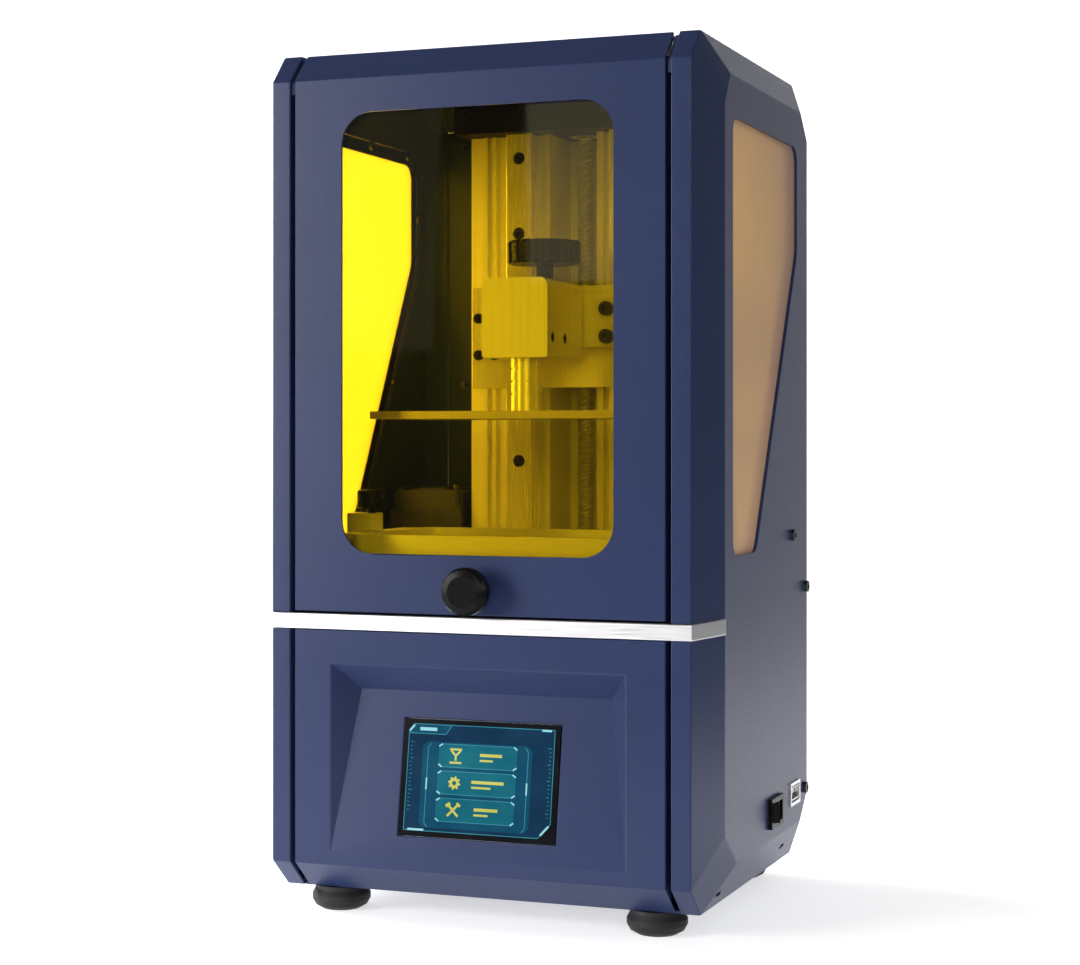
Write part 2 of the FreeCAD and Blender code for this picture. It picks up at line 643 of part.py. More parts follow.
# ---- electronics ----
def make_electronics():
    board_low = 38.9
    board_top = 40.5
    board = block(8, 97, 134, 172, board_low, board_top)
    standoffs = []
    for x in (13.0, 88.0):
        for y in (138.5, 167.5):
            board = board.cut(rod(1.6, (x, y, 30), (x, y, 45)))
            standoffs.append(rod(3.0, (x, y, CASE_BOTTOM + SHEET), (x, y, board_low)))
    for x in (-15.5, 15.5):
        for y in (-15.5, 15.5):
            foot = (x, SCREW_DEPTH + y, MOTOR_TOP)
            standoffs.append(rod(3.0, foot, (x, SCREW_DEPTH + y, DECK_TOP - DECK_THICK)))
    save("standoffs", *standoffs)
    parts = [block(40, 54, 146, 160, board_top, board_top + 1.6),
             block(24, 31, 150, 157, board_top, board_top + 1.8),
             block(62, 70, 138, 144, board_top, board_top + 7.0),
             block(30, 52, 163, 169, board_top, board_top + 6.4),
             block(18, 36, 136, 141, board_top, board_top + 6.0),
             rod(4.0, (64, 164, board_top), (64, 164, board_top + 10)),
             rod(4.0, (74, 164, board_top), (74, 164, board_top + 10))]
    save("mainboard", board, *parts)


def make_side_connectors():
    y0, y1, z0, z1 = SWITCH
    face = CASE_HALF
    bezel = block(face, face + 2.0, y0, y1, z0, z1)
    body = block(face - 16, face + 0.1, y0 + 1.8, y1 - 1.8, z0 + 1.4, z1 - 1.4)
    well = block(face - 8, face + 3, y0 + 3.0, y1 - 3.0, z0 + 2.4, z1 - 2.4)
    middle_y = (y0 + y1) / 2
    middle_z = (z0 + z1) / 2
    axle = (middle_y, middle_z, face - 1.0)
    case = bezel.fuse(body).cut(well)
    axle_bore = rod(1.3, (axle[2], axle[0], z0 + 1.4), (axle[2], axle[0], z1 - 1.4))
    save("switch_bezel", case.cut(axle_bore).removeSplitter())
    half = (y1 - y0) / 2 - 3.4
    outline = [(face - 3.4, middle_y - half), (face + 5.2, middle_y - half),
               (face + 2.2, middle_y), (face + 0.9, middle_y + half), (face - 3.4, middle_y + half)]
    rocker = prism([(x, y, z0 + 2.8) for x, y in outline], (0, 0, z1 - z0 - 5.6))
    # Its ends are round about the axle, so that they clear the bezel as it rocks.
    sweep = rod(half + 0.3, (axle[2], axle[0], z0), (axle[2], axle[0], z1))
    rocker = rocker.common(sweep)
    rocker = rocker.fuse(rod(1.3 - RUNNING, (axle[2], axle[0], z0 + 1.6), (axle[2], axle[0], z1 - 1.6)))
    save("power_rocker", rocker.removeSplitter())

    y0, y1, z0, z1 = USB
    trim = block(face, face + 0.8, y0, y1, z0, z1)
    trim = trim.cut(block(face - 1, face + 2, y0 + 1.6, y1 - 1.6, z0 + 1.6, z1 - 1.6))
    shell = block(face - 14, face + 0.4, y0 + 2.5, y1 - 2.5, z0 + 2.5, z1 - 2.5)
    shell = shell.cut(block(face - 13, face + 2, y0 + 3.0, y1 - 3.0, z0 + 3.0, z1 - 3.0))
    tongue = block(face - 13, face - 1.5, y0 + 4.0, y1 - 4.0, z1 - 6.4, z1 - 4.6)
    save("usb_port", shell, trim, tongue)

    x, z = INLET
    barrel = ring(5.7, 3.2, (x, CASE_DEPTH - 14, z), (x, CASE_DEPTH + 0.8, z))
    nut = ring(8.0, 5.7, (x, CASE_DEPTH, z), (x, CASE_DEPTH + 1.6, z))
    back = rod(5.7, (x, CASE_DEPTH - 15, z), (x, CASE_DEPTH - 13, z))
    pin = rod(1.0, (x, CASE_DEPTH - 14, z), (x, CASE_DEPTH - 1, z))
    save("power_inlet", join([barrel, nut, back, pin]))


# ---- Z axis ----
def make_column():
    h = COLUMN_HALF
    c = CHANNEL_HALF
    front = COLUMN_FRONT
    outline = [(-h, front), (-49.5, front), (-49.5, front - 1.8), (-47.5, front - 1.8),
               (-47.5, front + 1.2), (-45.0, front + 1.2), (-45.0, front - 1.8),
               (-43.0, front - 1.8), (-43.0, front), (-c - 3.5, front), (-c - 3.5, front - 4),
               (-c, front - 4), (-c, 163.5)]
    full = outline + [(-x, y) for x, y in reversed(outline)]
    full = full + [(h, COLUMN_REAR), (-h, COLUMN_REAR)]
    column = prism([(x, y, DECK_TOP) for x, y in full], (0, 0, COLUMN_TOP - DECK_TOP))
    save("z_column", column)

    rails = []
    screws = []
    for side in (-1, 1):
        x = side * RAIL_X
        outline = [(x - 7, front), (x - 7, 133.0), (x - 5.6, 131.8), (x - 5.6, 129.8),
                   (x - 7, 128.6), (x - 7, 127.6), (x - 6.4, RAIL_FRONT), (x + 6.4, RAIL_FRONT),
                   (x + 7, 127.6), (x + 7, 128.6), (x + 5.6, 129.8), (x + 5.6, 131.8),
                   (x + 7, 133.0), (x + 7, front)]
        rail = prism([(px, py, DECK_TOP) for px, py in outline], (0, 0, COLUMN_TOP - DECK_TOP))
        for number in range(6):
            z = 363.0 - number * 38.4
            rail = rail.cut(rod(3.2, (x, RAIL_FRONT - 1, z), (x, RAIL_FRONT + 3.4, z)))
            seat = (x, RAIL_FRONT + 3.4, z)
            screws.append(cap_screw(2.8, 2.6, 1.4, 3.0, seat, (0, -1, 0)))
            rail = rail.cut(rod(1.4, (x, RAIL_FRONT, z), (x, RAIL_FRONT + 6.4, z)))
        rails.append(rail)
    save("linear_rails", *rails)
    return screws


def make_screw_drive(rail_screws):
    axis_low = (0, SCREW_DEPTH, 0)
    journal = SCREW_R - 0.6
    screw = turned([(0, 124), (journal, 124), (journal, 147), (SCREW_R, 147), (SCREW_R, 374.6),
                    (journal, 374.6), (journal, 389), (0, 389)], axis_low)
    save("lead_screw", screw)
    make_motor(journal + RUNNING)
    make_top_bracket(journal + RUNNING, rail_screws)


def make_motor(bore):
    half = 21.0
    body = block(-half, half, SCREW_DEPTH - half, SCREW_DEPTH + half, MOTOR_TOP - 40, MOTOR_TOP)
    corner = math.sqrt(2) * half - 4.5
    for turn in range(4):
        trim = block(corner, 40, -40, 40, 0, 200)
        trim.rotate(V(0, 0, 0), V(0, 0, 1), 45 + 90 * turn)
        trim.translate(V(0, SCREW_DEPTH, 0))
        body = body.cut(trim)
    pilot = ring(11, bore, (0, SCREW_DEPTH, MOTOR_TOP), (0, SCREW_DEPTH, MOTOR_TOP + 2))
    body = body.fuse(pilot).cut(rod(bore, (0, SCREW_DEPTH, 123), (0, SCREW_DEPTH, 140)))
    save("stepper_motor", body.removeSplitter())


def make_top_bracket(bore, rail_screws):
    front = 119.0
    bracket_top = 391.0
    bracket = block(-60, 60, front, COLUMN_REAR, COLUMN_TOP, bracket_top)
    bracket = bracket.cut(block(-45, 45, front + 4, 160, COLUMN_TOP + 5, bracket_top + 1))
    bracket = bracket.cut(rod(BEARING_R, (0, SCREW_DEPTH, 370), (0, SCREW_DEPTH, 395)))
    save("top_bearing", ring(BEARING_R, bore, (0, SCREW_DEPTH, COLUMN_TOP),
                             (0, SCREW_DEPTH, COLUMN_TOP + 5)))
    screws = list(rail_screws)
    for x in (-52.5, -22.0, 22.0, 52.5):
        screws.append(cap_screw(2.8, 2.4, 1.4, 3.0, (x, front, 385.0), (0, -1, 0)))
        bracket = bracket.cut(rod(1.4, (x, front - 1, 385.0), (x, front + 3, 385.0)))
    save("top_bracket", bracket)
    save("column_screws", *screws)
    sensor = block(57, 63, 140, 152, 166, 180).cut(block(59, 61, 139, 147, 170, 182))
    save("end_stop_sensor", sensor)


def make_carriage():
    half, y0, y1, z0, z1 = CARRIAGE
    plate = block(-half, half, y0, y1, z0, z1)
    seats = []
    for side in (-1, 1):
        for x, z in ((34.3, 262.6), (42.8, 262.6), (42.8, 281.0)):
            seats.append((side * x, z))
    screws = []
    for x, z in seats:
        plate = plate.cut(rod(1.4, (x, y0 - 1, z), (x, y0 + 4, z)))
        screws.append(cap_screw(2.5, 2.2, 1.4, 4.0, (x, y0, z), (0, -1, 0)))
    nut_arm = block(-11, 11, y1, 160.5, 262.0, 274.0)
    nut_arm = nut_arm.cut(rod(NUT_R, (0, SCREW_DEPTH, 260), (0, SCREW_DEPTH, 280)))
    save("carriage_plate", plate.fuse(nut_arm).removeSplitter())

    runners = []
    for side in (-1, 1):
        x = side * RAIL_X
        runner = block(x - 11, x + 11, y1, 134.2, 250.0, 292.0)
        gap = 0.35
        slot = [(x - 7 - gap, 136), (x - 7 - gap, 133.2), (x - 5.6 - gap, 131.9),
                (x - 5.6 - gap, 129.7), (x - 7 - gap, 128.5), (x - 7 - gap, RAIL_FRONT - gap),
                (x + 7 + gap, RAIL_FRONT - gap), (x + 7 + gap, 128.5), (x + 5.6 + gap, 129.7),
                (x + 5.6 + gap, 131.9), (x + 7 + gap, 133.2), (x + 7 + gap, 136)]
        runner = runner.cut(prism([(px, py, 240) for px, py in slot], (0, 0, 60)))
        runners.append(runner)
    save("rail_carriages", *runners)

    nut = rod(NUT_R, (0, SCREW_DEPTH, 262), (0, SCREW_DEPTH, 274))
    nut = nut.fuse(rod(9.4, (0, SCREW_DEPTH, 274), (0, SCREW_DEPTH, 277.5)))
    save("lead_nut", nut.cut(rod(SCREW_R + RUNNING, (0, SCREW_DEPTH, 255), (0, SCREW_DEPTH, 285))))
    return screws


# ---- lifting arm and platform ----
def make_platform(carriage_screws):
    flange = block(-34, 34, 101, CARRIAGE[1], 265.4, 292.0)
    half, y0, y1, z0, z1 = TONGUE
    arm = flange.fuse(block(-half, half, y0, y1, z0, z1))
    seats = [(side * 28.7, z) for side in (-1, 1) for z in (270.5, 284.0)]
    screws = list(carriage_screws)
    for x, z in seats:
        screws.append(cap_screw(3.5, 3.6, 2.0, 6.0, (x, 101, z), (0, -1, 0)))
        arm = arm.cut(rod(2.0, (x, 95, z), (x, 107, z)))
    arm = arm.removeSplitter()
    save("lifting_arm", arm)
    save("carriage_screws", *screws)

    half, y0, y1, z0, z1 = HEAD
    corners = [(-half, y0, z0), (half, y0, z0), (half, y0, z1), (-half, y0, z1)]
    head = rounded_prism(corners, [1.2, 1.2, 4.0, 4.0], (0, y1 - y0, 0))
    gap = 0.15
    pocket = block(-TONGUE[0] - gap, TONGUE[0] + gap, TONGUE[1] - 1, y1 + 1,
                   TONGUE[3] - gap, TONGUE[4] + gap)
    socket = Part.makeSphere(BALL_R + RUNNING, V(0, WORK_DEPTH, BALL_HEIGHT))
    mouth = Part.makeCone(8.6, 7.9, 2.0, V(0, WORK_DEPTH, z0 - 0.01))
    stud_bore = rod(3.0 + RUNNING, (0, KNOB_DEPTH, 285), (0, KNOB_DEPTH, 300))
    grub_seats = [(y, 268.5) for y in (57.5, 74.5)]
    cutters = [pocket, socket, mouth, stud_bore]
    grubs = []
    for y, z in grub_seats:
        for side in (-1, 1):
            cutters.append(rod(2.5, (side * 20, y, z), (side * 11, y, z)))
            grub = rod(2.5, (side * 11.0, y, z), (side * 16.3, y, z))
            grubs.append(grub.cut(rod(1.25, (side * 14.0, y, z), (side * 17, y, z))))
    save("platform_head", drill(head, cutters))
    save("levelling_screws", *grubs)

    ball = Part.makeSphere(BALL_R, V(0, WORK_DEPTH, BALL_HEIGHT))
    plate_half, p0, p1, low, high = PLATE
    post = rod(POST_R, (0, WORK_DEPTH, high), (0, WORK_DEPTH, BALL_HEIGHT))
    for z in (241.5, 247.5, 253.5):
        post = post.cut(ring(POST_R + 1, POST_R - 0.8, (0, WORK_DEPTH, z), (0, WORK_DEPTH, z + 1.0)))
    save("ball_post", join([post, ball]))
    corners = [(-plate_half, p0, low), (plate_half, p0, low),
               (plate_half, p1, low), (-plate_half, p1, low)]
    save("build_plate", rounded_prism(corners, [1.5] * 4, (0, 0, high - low)))

    # Fluted clamp knob whose stud presses on the tongue inside the head.
    wheel = rod(KNOB_R, (0, KNOB_DEPTH, KNOB_LOW), (0, KNOB_DEPTH, KNOB_HIGH))
    wheel = wheel.makeChamfer(1.0, wheel.Edges)
    wheel = fluted(wheel, KNOB_R, 16, 2.4, (0, KNOB_DEPTH), (KNOB_LOW, KNOB_HIGH))
    sleeve = rod(4.5, (0, KNOB_DEPTH, HEAD[4] + 0.2), (0, KNOB_DEPTH, KNOB_LOW))
    stud = rod(3.0, (0, KNOB_DEPTH, TONGUE[4] + 0.1), (0, KNOB_DEPTH, KNOB_LOW))
    save("platform_knob", join([wheel, sleeve, stud]))


# ---- vat ----
def make_vat():
    half, y0, y1 = VAT_OUTER
    inner, i0, i1 = VAT_INNER
    body = rounded_box(half, y0, y1, DECK_TOP + 2.2, VAT_TOP, 6.0)
    ears = block(-FLANGE_HALF, FLANGE_HALF, y0 + 8, y1 - 8, VAT_TOP - FLANGE_THICK, VAT_TOP)
    body = body.fuse(ears)
    body = body.cut(rounded_box(inner, i0, i1, DECK_TOP, VAT_TOP + 1, 9.0)).removeSplitter()
    save("vat_body", body)
    frame = rounded_box(half - 0.5, y0 + 0.5, y1 - 0.5, DECK_TOP + 0.2, DECK_TOP + 2.2, 5.0)
    frame = frame.cut(rounded_box(inner, i0, i1, DECK_TOP, DECK_TOP + 5, 9.0))
    save("film_frame", frame)
    save("release_film", rounded_box(inner, i0, i1, DECK_TOP + 0.2, DECK_TOP + 0.4, 9.0))

    clamps = []
    for side in (-1, 1):
        grip = block(-87, -73.2, CLAMP_DEPTH - 6, CLAMP_DEPTH + 6, DECK_TOP, 184.8)
        grip = grip.cut(block(-FLANGE_HALF - 0.4, -60, 40, 80, VAT_TOP - FLANGE_THICK - 0.2,
                              VAT_TOP + 0.4))
        grip = grip.cut(rod(2.06, (-CLAMP_AXIS, CLAMP_DEPTH, VAT_TOP), (-CLAMP_AXIS, CLAMP_DEPTH, 190)))
        knob = rod(7.0, (-CLAMP_AXIS, CLAMP_DEPTH, 187.0), (-CLAMP_AXIS, CLAMP_DEPTH, 195.8))
        knob = knob.makeChamfer(0.6, knob.Edges)
        knob = fluted(knob, 7.0, 14, 1.0, (-CLAMP_AXIS, CLAMP_DEPTH), (187, 196))
        stud = rod(2.0, (-CLAMP_AXIS, CLAMP_DEPTH, VAT_TOP + 0.2), (-CLAMP_AXIS, CLAMP_DEPTH, 187.0))
        knob = join([knob, stud])
        name = "left_thumbscrew" if side < 0 else "right_thumbscrew"
        save(name, knob if side < 0 else mirrored(knob))
        clamps.append(grip if side < 0 else mirrored(grip))
    save("vat_clamps", *clamps)


def main():
    shell = case_block(0).cut(case_block(SHEET))
    make_side_panels(shell)
    make_top_cover(shell)
    make_rear_cover(shell)
    make_base_plate(shell)
    make_lower_front(shell)
    make_trim_band()
    make_front_frame()
    make_door(shell)
    make_door_hinge()
    window_heads = make_side_windows()
    make_case_screws(window_heads)
    make_feet()
    make_deck()
    make_light_unit()
    make_fans()
    make_electronics()
    make_side_connectors()
    rail_screws = make_column()
    make_screw_drive(rail_screws)
    carriage_screws = make_carriage()
    make_platform(carriage_screws)
    make_vat()


main()
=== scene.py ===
import json
import math

import bmesh
import bpy
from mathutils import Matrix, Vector

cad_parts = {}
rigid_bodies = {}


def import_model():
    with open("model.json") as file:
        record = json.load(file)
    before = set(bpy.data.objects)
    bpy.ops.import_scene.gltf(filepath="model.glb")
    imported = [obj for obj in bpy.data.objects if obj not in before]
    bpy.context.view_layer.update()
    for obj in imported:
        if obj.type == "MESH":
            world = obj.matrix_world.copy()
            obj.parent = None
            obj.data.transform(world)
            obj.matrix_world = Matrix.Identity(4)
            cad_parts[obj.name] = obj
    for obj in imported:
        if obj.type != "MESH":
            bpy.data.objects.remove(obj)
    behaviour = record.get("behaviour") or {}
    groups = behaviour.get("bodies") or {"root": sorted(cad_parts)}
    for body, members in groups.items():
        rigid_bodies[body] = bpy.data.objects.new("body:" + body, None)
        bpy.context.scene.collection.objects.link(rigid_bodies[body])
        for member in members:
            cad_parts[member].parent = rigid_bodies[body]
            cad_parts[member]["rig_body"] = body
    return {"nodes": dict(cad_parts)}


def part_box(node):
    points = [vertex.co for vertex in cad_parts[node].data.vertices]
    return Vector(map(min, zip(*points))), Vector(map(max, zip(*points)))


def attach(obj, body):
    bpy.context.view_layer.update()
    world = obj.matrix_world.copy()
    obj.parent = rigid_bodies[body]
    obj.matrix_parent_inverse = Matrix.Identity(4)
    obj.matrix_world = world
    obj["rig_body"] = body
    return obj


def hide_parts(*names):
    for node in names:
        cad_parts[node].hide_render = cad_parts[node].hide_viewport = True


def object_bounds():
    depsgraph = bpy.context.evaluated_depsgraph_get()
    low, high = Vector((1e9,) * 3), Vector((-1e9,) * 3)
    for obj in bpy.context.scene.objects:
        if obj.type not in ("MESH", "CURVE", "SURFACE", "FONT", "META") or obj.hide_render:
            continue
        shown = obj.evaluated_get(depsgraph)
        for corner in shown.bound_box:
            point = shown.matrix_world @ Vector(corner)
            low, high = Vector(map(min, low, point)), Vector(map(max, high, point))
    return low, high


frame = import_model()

CAD_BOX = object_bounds()
NODES = frame["nodes"]
MM = 0.001


# ---- view ----
def make_camera():
    """A level camera to the right of the front, a little above half the height of the case."""
    to_right = 0.37603
    to_front = 1.00703
    above_floor = 0.22125
    turned = 20.89
    data = bpy.data.cameras.new("camera")
    data.sensor_width = 36.0
    data.lens = 73.74
    data.shift_x = 0.0123
    data.shift_y = -0.0416
    camera = bpy.data.objects.new("camera", data)
    camera.location = (to_right, -to_front, CAD_BOX[0].z + above_floor)
    camera.rotation_euler = (math.radians(90), 0, math.radians(turned))
    bpy.context.scene.collection.objects.link(camera)
    bpy.context.scene.camera = camera


def area_light(name, place, aim, size, radiance, tint=(1.0, 1.0, 1.0)):
    """A softbox that faces aim. The radiance is what a mirror would show of it."""
    data = bpy.data.lights.new(name, "AREA")
    data.shape = "RECTANGLE"
    data.size = size[0]
    data.size_y = size[1]
    data.energy = radiance * math.pi * size[0] * size[1]
    data.color = tint
    lamp = bpy.data.objects.new(name, data)
    lamp.location = place
    direction = Vector(aim) - Vector(place)
    lamp.rotation_euler = direction.to_track_quat("-Z", "Y").to_euler()
    lamp.visible_camera = False
    bpy.context.scene.collection.objects.link(lamp)


def make_lights():
    """Softboxes light the case. Cards are dim and stand where a face or a window mirrors them."""
    aim = (0, 0, 0.22)
    area_light("key_softbox", (0.72, -2.05, 0.70), aim, (1.1, 1.1), 3.5)
    area_light("left_softbox", (-1.46, -1.55, 0.55), aim, (1.0, 1.2), 11.4, (1.0, 0.96, 0.95))
    area_light("veil_card", (-0.97, -1.55, 0.72), aim, (0.62, 0.8), 0.16)
    area_light("haze_card", (-0.465, -1.55, 0.54), aim, (0.13, 0.28), 0.6)
    area_light("side_softbox", (2.1, -0.1, 0.8), aim, (1.0, 1.0), 3.2)
    area_light("side_card", (0.80, 2.2, 0.40), (0.10, 0, 0.25), (0.50, 1.4), 0.40)
    area_light("window_softbox", (-1.25, 0.25, 0.55), (-0.1, 0, 0.28), (0.8, 0.7), 22.0)


def make_world():
    """Dim surroundings, brighter overhead. The camera sees plain white behind the object."""
    world = bpy.data.worlds.new("studio")
    world.use_nodes = True
    nodes = world.node_tree.nodes
    links = world.node_tree.links
    nodes.clear()
    direction = nodes.new("ShaderNodeTexCoord")
    parts = nodes.new("ShaderNodeSeparateXYZ")
    links.new(direction.outputs["Generated"], parts.inputs["Vector"])
    height = nodes.new("ShaderNodeMapRange")
    height.inputs["From Min"].default_value = 0.2
    height.inputs["From Max"].default_value = 0.8
    height.inputs["To Min"].default_value = 0.06
    height.inputs["To Max"].default_value = 0.16
    links.new(parts.outputs["Z"], height.inputs["Value"])
    lighting = nodes.new("ShaderNodeBackground")
    lighting.inputs["Color"].default_value = (0.94, 0.97, 1.0, 1)
    links.new(height.outputs["Result"], lighting.inputs["Strength"])
    backdrop = nodes.new("ShaderNodeBackground")
    backdrop.inputs["Color"].default_value = (1, 1, 1, 1)
    backdrop.inputs["Strength"].default_value = 1.0
    path = nodes.new("ShaderNodeLightPath")
    mix = nodes.new("ShaderNodeMixShader")
    output = nodes.new("ShaderNodeOutputWorld")
    links.new(path.outputs["Is Camera Ray"], mix.inputs["Fac"])
    links.new(lighting.outputs["Background"], mix.inputs[1])
    links.new(backdrop.outputs["Background"], mix.inputs[2])
    links.new(mix.outputs["Shader"], output.inputs["Surface"])
    bpy.context.scene.world = world
    bpy.context.scene.view_settings.view_transform = "Standard"


def make_floor():
    """A pale floor that sweeps up into a back wall behind the object."""
    wall_start = 1.5
    wall_top = 3.5
    bend = 0.8
    steps = 12
    left = -3.0
    right = 0.42
    front = -0.50
    behind = 0.9
    rows = [(front, 0.0), (behind, 0.0)]
    for step in range(steps + 1):
        angle = math.radians(90 * step / steps)
        rows.append((wall_start + bend * math.sin(angle), bend - bend * math.cos(angle)))
    rows.append((wall_start + bend, wall_top))
    mesh = bmesh.new()
    pairs = []
    for y, z in rows:
        pairs.append((mesh.verts.new((left, y, z)), mesh.verts.new((right, y, z))))
    for (a, b), (c, d) in zip(pairs, pairs[1:]):
        mesh.faces.new((a, b, d, c)).smooth = True
    floor = new_object("floor", mesh)
    floor.data.materials.append(floor_material())
    floor.location.z = CAD_BOX[0].z


# ---- mesh helpers ----
def new_object(name, mesh):
    data = bpy.data.meshes.new(name)
    mesh.to_mesh(data)
    mesh.free()
    made = bpy.data.objects.new(name, data)
    bpy.context.scene.collection.objects.link(made)
    return made


def welded(node):
    """The node's mesh as one closed surface, with each flat face in as few pieces as it can be."""
    mesh = bmesh.new()
    mesh.from_mesh(NODES[node].data)
    bmesh.ops.remove_doubles(mesh, verts=mesh.verts, dist=1e-6)
    flat = math.radians(0.5)
    bmesh.ops.dissolve_limit(mesh, angle_limit=flat, verts=mesh.verts, edges=mesh.edges)
    bmesh.ops.recalc_face_normals(mesh, faces=mesh.faces)
    return mesh


def softened(node, radius, shortest=0.0, inside=None, edge_highlight=None, least=12.0):
    """Stands for a CAD node, with its outer edges rounded where they are longer than shortest
    and turn by more than least, in degrees. Faces that look towards the middle of the case get
    the inside finish, and upright rounded edges that look to the right get the edge highlight,
    a lighter coat painted where a light catches them. Pieces with an edge highlight are thin
    sheet, whose small cuts would hold back every edge if overlaps were clamped."""
    mesh = welded(node)
    chosen = []
    for edge in mesh.edges:
        if len(edge.link_faces) != 2 or edge.calc_length() < shortest:
            continue
        if edge.is_convex and edge.calc_face_angle(0) > math.radians(least):
            chosen.append(edge)
    bevel = bmesh.ops.bevel(mesh, geom=chosen, offset=radius, offset_type="OFFSET", segments=3,
                            profile=0.5, affect="EDGES", clamp_overlap=not edge_highlight)
    rounded = bevel["faces"]
    middle = (CAD_BOX[0] + CAD_BOX[1]) / 2
    for face in mesh.faces:
        face.smooth = True
        if inside and face.normal.dot(middle - face.calc_center_median()) > 0:
            face.material_index = 1
    if edge_highlight:
        for face in rounded:
            # Upright rounded faces that look to the right get the lighter coat: a painted
            # highlight.
            if abs(face.normal.z) < 0.15 and face.normal.y < -0.05 and face.normal.x > 0.1:
                face.material_index = 2 if inside else 1
    for edge in mesh.edges:
        if len(edge.link_faces) == 2 and edge.calc_face_angle(0) > math.radians(31):
            edge.smooth = False
    piece = new_object(node + "_soft", mesh)
    weighted = piece.modifiers.new("weighted", "WEIGHTED_NORMAL")
    weighted.keep_sharp = True
    stands_for(piece, node)
    for finish in (inside, edge_highlight):
        if finish:
            piece.data.materials.append(finish)
    return piece


def stands_for(piece, *nodes):
    """The piece rides where the first node does, hides the nodes and takes over their finish."""
    first = NODES[nodes[0]]
    piece.data.materials.clear()
    for slot in first.data.materials:
        piece.data.materials.append(slot)
    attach(piece, first["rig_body"])
    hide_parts(*nodes)


def slots_by_node():
    found = {}
    for name, item in NODES.items():
        found[name] = item.data.materials[0].name.split(".")[0]
    return found


SLOT_OF = slots_by_node()


# ---- node helpers ----
class Finish:
    """A procedural material. Its helpers add texture nodes and wire them to the main shader."""

    def __init__(self, name):
        self.material = bpy.data.materials.new(name)
        self.material.use_nodes = True
        self.nodes = self.material.node_tree.nodes
        self.links = self.material.node_tree.links
        self.shader = self.nodes["Principled BSDF"]

    def set(self, **values):
        for name, value in values.items():
            socket = self.shader.inputs[name.replace("_", " ")]
            socket.default_value = value
        return self

    def space(self, stretch=(1, 1, 1)):
        place = self.nodes.new("ShaderNodeTexCoord")
        mapping = self.nodes.new("ShaderNodeMapping")
        mapping.inputs["Scale"].default_value = stretch
        self.links.new(place.outputs["Object"], mapping.inputs["Vector"])
        return mapping.outputs["Vector"]

    def noise(self, size, detail=2.0, stretch=(1, 1, 1)):
        """Noise whose blobs are about size across, in metres."""
        texture = self.nodes.new("ShaderNodeTexNoise")
        texture.inputs["Scale"].default_value = 1 / size
        texture.inputs["Detail"].default_value = detail
        self.links.new(self.space(stretch), texture.inputs["Vector"])
        return texture.outputs["Fac"]

    def cells(self, size):
        texture = self.nodes.new("ShaderNodeTexVoronoi")
        texture.inputs["Scale"].default_value = 1 / size
        self.links.new(self.space(), texture.inputs["Vector"])
        return texture.outputs["Distance"]

    def between(self, factor, low, high, start=0.3, end=0.7):
        """Maps a factor from start..end to low..high."""
        node = self.nodes.new("ShaderNodeMapRange")
        node.inputs["From Min"].default_value = start
        node.inputs["From Max"].default_value = end
        node.inputs["To Min"].default_value = low
        node.inputs["To Max"].default_value = high
        self.links.new(factor, node.inputs["Value"])
        return node.outputs["Result"]

    def blended(self, factor, low, high, start=0.3, end=0.7):
        """A colour that goes from low to high with a factor."""
        ramp = self.nodes.new("ShaderNodeValToRGB")
        ramp.color_ramp.elements[0].position = start
        ramp.color_ramp.elements[0].color = (*low, 1)
        ramp.color_ramp.elements[1].position = end
        ramp.color_ramp.elements[1].color = (*high, 1)
        self.links.new(factor, ramp.inputs["Fac"])
        return ramp.outputs["Color"]

    def colour(self, factor, low, high, start=0.3, end=0.7):
        socket = self.blended(factor, low, high, start, end)
        self.links.new(socket, self.shader.inputs["Base Color"])
        return self

    def roughness(self, factor, low, high):
        self.links.new(self.between(factor, low, high), self.shader.inputs["Roughness"])
        return self

    def bump(self, height, depth):
        """Relief of a depth in metres. A second call lies on top of the first."""
        node = self.nodes.new("ShaderNodeBump")
        node.inputs["Distance"].default_value = depth
        node.inputs["Strength"].default_value = 1.0
        self.links.new(height, node.inputs["Height"])
        before = self.shader.inputs["Normal"]
        if before.is_linked:
            self.links.new(before.links[0].from_socket, node.inputs["Normal"])
        self.links.new(node.outputs["Normal"], self.shader.inputs["Normal"])
        return self


# ---- finishes ----
def floor_material():
    finish = Finish("floor")
    finish.colour(finish.noise(0.5), (0.86, 0.86, 0.87), (0.90, 0.90, 0.90))
    finish.roughness(finish.noise(0.05), 0.80, 0.95)
    finish.set(Emission_Color=(1, 1, 1, 1), Emission_Strength=0.58)
    return finish.material


def case_paint():
    """Navy powder coat: a fine orange peel with a slight sheen."""
    finish = Finish("case_paint")
    finish.colour(finish.noise(0.06, 3), (0.0190, 0.0300, 0.0850), (0.0215, 0.0335, 0.0930))
    finish.roughness(finish.noise(0.0012, 2), 0.28, 0.36)
    finish.bump(finish.noise(0.0009, 3), 0.000035)
    finish.bump(finish.noise(0.0060, 1), 0.00003)
    finish.set(Specular_IOR_Level=0.22)
    return finish.material


def painted_edge_highlight():
    """The same coat, lighter and shinier, on the rounded edges that look to the right: a painted
    highlight where a light catches them.
    """
    finish = Finish("painted_edge_highlight")
    # Lighter than case_paint: a painted highlight, not the coat's own colour.
    finish.colour(finish.noise(0.02, 3), (0.20, 0.22, 0.34), (0.26, 0.28, 0.41))
    finish.roughness(finish.noise(0.0012, 2), 0.20, 0.28)
    finish.bump(finish.noise(0.0009, 3), 0.00001)
    finish.set(Specular_IOR_Level=0.8)
    return finish.material


def silver_trim():
    finish = Finish("silver_trim")
    grain = finish.noise(0.0006, 3, (0.03, 1, 1))
    finish.colour(grain, (0.80, 0.80, 0.81), (0.90, 0.90, 0.91))
    finish.roughness(grain, 0.30, 0.42)
    finish.bump(grain, 0.00001)
    finish.set(Metallic=0.85)
    return finish.material


